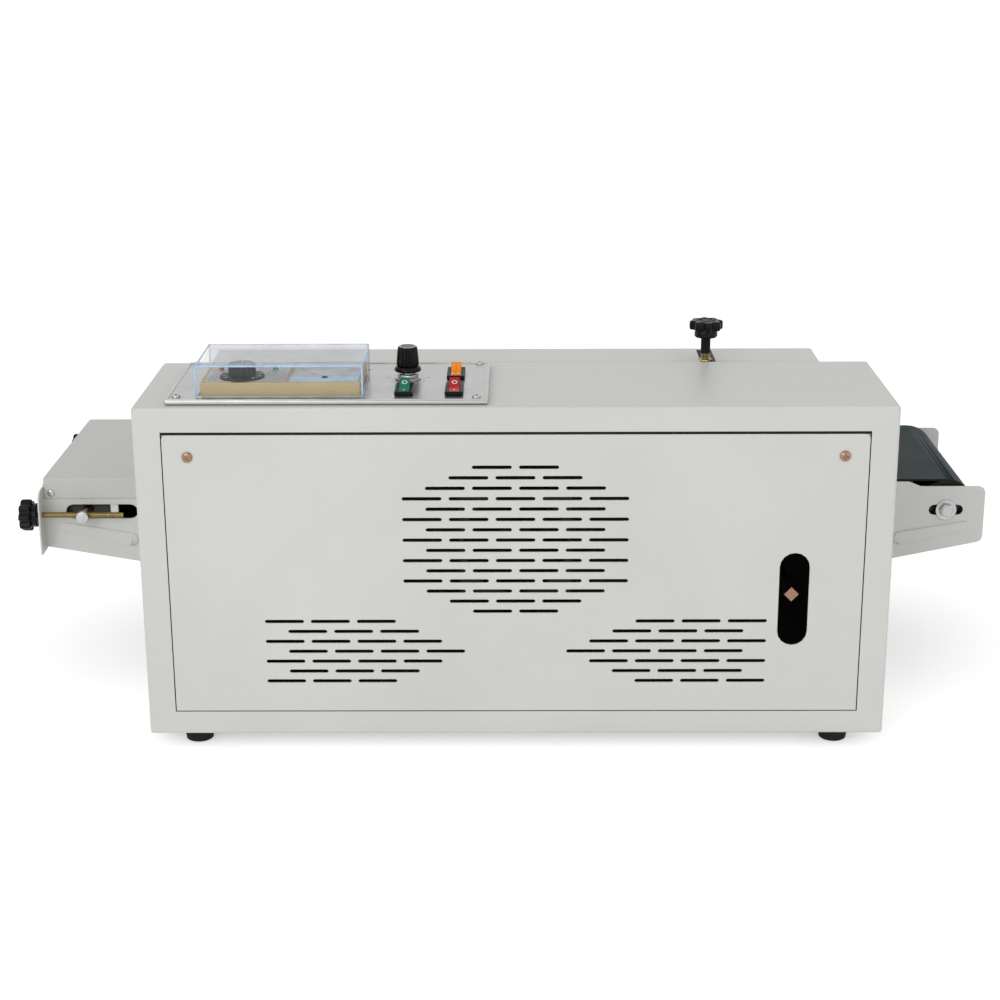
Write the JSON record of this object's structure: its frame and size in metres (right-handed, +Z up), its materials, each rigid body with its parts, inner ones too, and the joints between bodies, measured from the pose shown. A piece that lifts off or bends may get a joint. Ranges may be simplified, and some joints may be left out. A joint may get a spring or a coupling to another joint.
{
  "type": "continuous band sealer",
  "caption": "Desk machine that seals bags between moving heated bands, with a service-door cabinet, control panel and height-adjustable belt conveyor.",
  "frame": {"origin": "middle of the bounding box's underside, at the bottom of the feet", "axes": "+X along the conveyor toward the inlet, -Y toward the service door, +Z up"},
  "size_m": [0.869, 0.385, 0.3335],
  "materials": {
    "grey_coat": "light grey powder coat",
    "black_rubber": "matt",
    "black_plastic": "satin",
    "satin_aluminium": "brushed",
    "champagne": "satin",
    "clear_acrylic": "clear",
    "zinc_steel": "zinc plated",
    "copper": "coppery plating",
    "brass": "machined",
    "cast_iron": "painted casting",
    "dark_paint": "dark enamel",
    "brown_band": "coated glass cloth",
    "dark_belt": "matt",
    "green_rocker": "gloss",
    "red_rocker": "gloss",
    "amber_rocker": "gloss",
    "board_green": "laminate"
  },
  "bodies": {
    "cabinet": {"cabinet_shell": "grey_coat", "service_door": "grey_coat", "foot_door_left": "black_rubber", "foot_door_right": "black_rubber", "foot_operator_left": "black_rubber", "foot_operator_right": "black_rubber", "operator_wall": "grey_coat", "base_plate": "zinc_steel", "control_panel": "satin_aluminium", "temperature_controller": "champagne", "speed_potentiometer": "zinc_steel", "fan_switch": "black_plastic", "heat_switch": "black_plastic", "drive_switch": "black_plastic", "head_cover": "grey_coat", "lower_guard": "grey_coat", "gearbox": "cast_iron", "drive_motor": "dark_paint", "fan_housing": "black_plastic", "speed_board": "board_green", "cable_gland": "black_plastic", "lower_heating_block": "brass", "upper_cooling_block": "satin_aluminium", "lower_cooling_block": "satin_aluminium", "upper_seal_band": "brown_band", "lower_seal_band": "brown_band"},
    "cover": {"dust_cover": "clear_acrylic"},
    "dial": {"temperature_dial": "black_plastic"},
    "speed": {"speed_knob": "black_plastic"},
    "fan_key": {"fan_rocker": "green_rocker"},
    "heat_key": {"heat_rocker": "red_rocker"},
    "drive_key": {"drive_rocker": "amber_rocker"},
    "upper_inlet": {"upper_inlet_wheel": "zinc_steel"},
    "lower_inlet": {"lower_inlet_wheel": "zinc_steel"},
    "upper_drive": {"upper_drive_wheel": "zinc_steel"},
    "lower_drive": {"lower_drive_wheel": "zinc_steel"},
    "upper_press": {"upper_pressure_wheel": "zinc_steel"},
    "lower_press": {"lower_pressure_wheel": "zinc_steel"},
    "impeller": {"fan_impeller": "black_plastic"},
    "press_screw": {"pressure_screw": "black_plastic"},
    "press_block": {"upper_heating_block": "brass"},
    "conveyor": {"cabinet_side_rail": "grey_coat", "operator_side_rail": "grey_coat", "slider_bed": "zinc_steel", "outlet_cover": "grey_coat", "conveyor_belt": "dark_belt", "inlet_axle": "zinc_steel", "clamp_bolt_left": "copper", "clamp_bolt_right": "copper"},
    "inlet_turn": {"inlet_roller": "zinc_steel"},
    "drum": {"drive_drum": "dark_paint"},
    "snub_left": {"snub_roller_left": "zinc_steel"},
    "snub_right": {"snub_roller_right": "zinc_steel"},
    "take_up": {"tension_axle": "copper"},
    "take_up_turn": {"tension_roller": "zinc_steel"},
    "near_screw": {"near_tension_screw": "black_plastic"},
    "far_screw": {"far_tension_screw": "black_plastic"}
  },
  "joints": [
    {"name": "conveyor_height", "type": "slide", "parent": "cabinet", "child": "conveyor", "axis": [0, 0, 1], "range_m": [-0.03, 0.01]},
    {"name": "cover_lift", "type": "slide", "parent": "cabinet", "child": "cover", "axis": [0, 0, 1], "range_m": [0, 0.06]},
    {"name": "temperature_turn", "type": "hinge", "parent": "cabinet", "child": "dial", "pos_m": [-0.21205, -0.1573, 0.3145], "axis": [0, 0, 1], "range_deg": [-270, 0]},
    {"name": "speed_turn", "type": "hinge", "parent": "cabinet", "child": "speed", "pos_m": [-0.07875, -0.1135, 0.3086], "axis": [0, 0, 1], "range_deg": [-150, 150]},
    {"name": "fan_rock", "type": "hinge", "parent": "cabinet", "child": "fan_key", "pos_m": [-0.07945, -0.1585, 0.3032], "axis": [1, 0, 0], "range_deg": [-24, 0]},
    {"name": "heat_rock", "type": "hinge", "parent": "cabinet", "child": "heat_key", "pos_m": [-0.03845, -0.1585, 0.3032], "axis": [1, 0, 0], "range_deg": [-24, 0]},
    {"name": "drive_rock", "type": "hinge", "parent": "cabinet", "child": "drive_key", "pos_m": [-0.03845, -0.104, 0.3032], "axis": [1, 0, 0], "range_deg": [-24, 0]},
    {"name": "upper_inlet_spin", "type": "hinge", "parent": "cabinet", "child": "upper_inlet", "pos_m": [0.25145, -0.013, 0.26295], "axis": [0, 1, 0], "continuous": true},
    {"name": "lower_inlet_spin", "type": "hinge", "parent": "cabinet", "child": "lower_inlet", "pos_m": [0.25145, -0.013, 0.22105], "axis": [0, 1, 0], "continuous": true},
    {"name": "upper_drive_spin", "type": "hinge", "parent": "cabinet", "child": "upper_drive", "pos_m": [-0.22855, -0.013, 0.26295], "axis": [0, 1, 0], "continuous": true},
    {"name": "lower_drive_spin", "type": "hinge", "parent": "cabinet", "child": "lower_drive", "pos_m": [-0.22855, -0.013, 0.22105], "axis": [0, 1, 0], "continuous": true},
    {"name": "upper_press_spin", "type": "hinge", "parent": "cabinet", "child": "upper_press", "pos_m": [0.09645, -0.013, 0.25795], "axis": [0, 1, 0], "continuous": true},
    {"name": "lower_press_spin", "type": "hinge", "parent": "cabinet", "child": "lower_press", "pos_m": [0.09645, -0.013, 0.22605], "axis": [0, 1, 0], "continuous": true},
    {"name": "fan_spin", "type": "hinge", "parent": "cabinet", "child": "impeller", "pos_m": [0.01145, -0.178, 0.182], "axis": [0, 1, 0], "continuous": true},
    {"name": "pressure_turn", "type": "hinge", "parent": "cabinet", "child": "press_screw", "pos_m": [0.17945, -0.0285, 0.29], "axis": [0, 0, 1], "range_deg": [0, 720]},
    {"name": "pressure_slide", "type": "slide", "parent": "cabinet", "child": "press_block", "axis": [0, 0, 1], "range_m": [0, 0.0025]},
    {"name": "inlet_spin", "type": "hinge", "parent": "conveyor", "child": "inlet_turn", "pos_m": [0.39995, 0.0675, 0.1592], "axis": [0, 1, 0], "continuous": true},
    {"name": "drum_spin", "type": "hinge", "parent": "conveyor", "child": "drum", "pos_m": [0.01145, 0.0675, 0.137], "axis": [0, 1, 0], "continuous": true},
    {"name": "snub_left_spin", "type": "hinge", "parent": "conveyor", "child": "snub_left", "pos_m": [-0.03655, 0.0675, 0.1205], "axis": [0, 1, 0], "continuous": true},
    {"name": "snub_right_spin", "type": "hinge", "parent": "conveyor", "child": "snub_right", "pos_m": [0.05945, 0.0675, 0.1205], "axis": [0, 1, 0], "continuous": true},
    {"name": "take_up_slide", "type": "slide", "parent": "conveyor", "child": "take_up", "axis": [1, 0, 0], "range_m": [0, 0.006]},
    {"name": "take_up_spin", "type": "hinge", "parent": "take_up", "child": "take_up_turn", "pos_m": [-0.37655, 0.0675, 0.1592], "axis": [0, 1, 0], "continuous": true},
    {"name": "near_tension_turn", "type": "hinge", "parent": "conveyor", "child": "near_screw", "pos_m": [-0.41555, -0.0425, 0.1592], "axis": [-1, 0, 0], "range_deg": [0, 2160]},
    {"name": "far_tension_turn", "type": "hinge", "parent": "conveyor", "child": "far_screw", "pos_m": [-0.41555, 0.1775, 0.1592], "axis": [-1, 0, 0], "range_deg": [0, 2160]}
  ],
  "couplings": [
    {"joint": "pressure_turn", "follows": "pressure_slide", "rad_per_m": 5026},
    {"joint": "near_tension_turn", "follows": "take_up_slide", "rad_per_m": 6283},
    {"joint": "far_tension_turn", "follows": "take_up_slide", "rad_per_m": 6283},
    {"joint": "inlet_spin", "follows": "drum_spin", "ratio": 0.8871},
    {"joint": "take_up_spin", "follows": "drum_spin", "ratio": 0.8871},
    {"joint": "snub_left_spin", "follows": "drum_spin", "ratio": -2.2},
    {"joint": "snub_right_spin", "follows": "drum_spin", "ratio": -2.2},
    {"joint": "upper_inlet_spin", "follows": "drum_spin", "ratio": -1.1},
    {"joint": "upper_drive_spin", "follows": "drum_spin", "ratio": -1.1},
    {"joint": "lower_inlet_spin", "follows": "drum_spin", "ratio": 1.1},
    {"joint": "lower_drive_spin", "follows": "drum_spin", "ratio": 1.1},
    {"joint": "upper_press_spin", "follows": "drum_spin", "ratio": -1.4667},
    {"joint": "lower_press_spin", "follows": "drum_spin", "ratio": 1.4667}
  ]
}
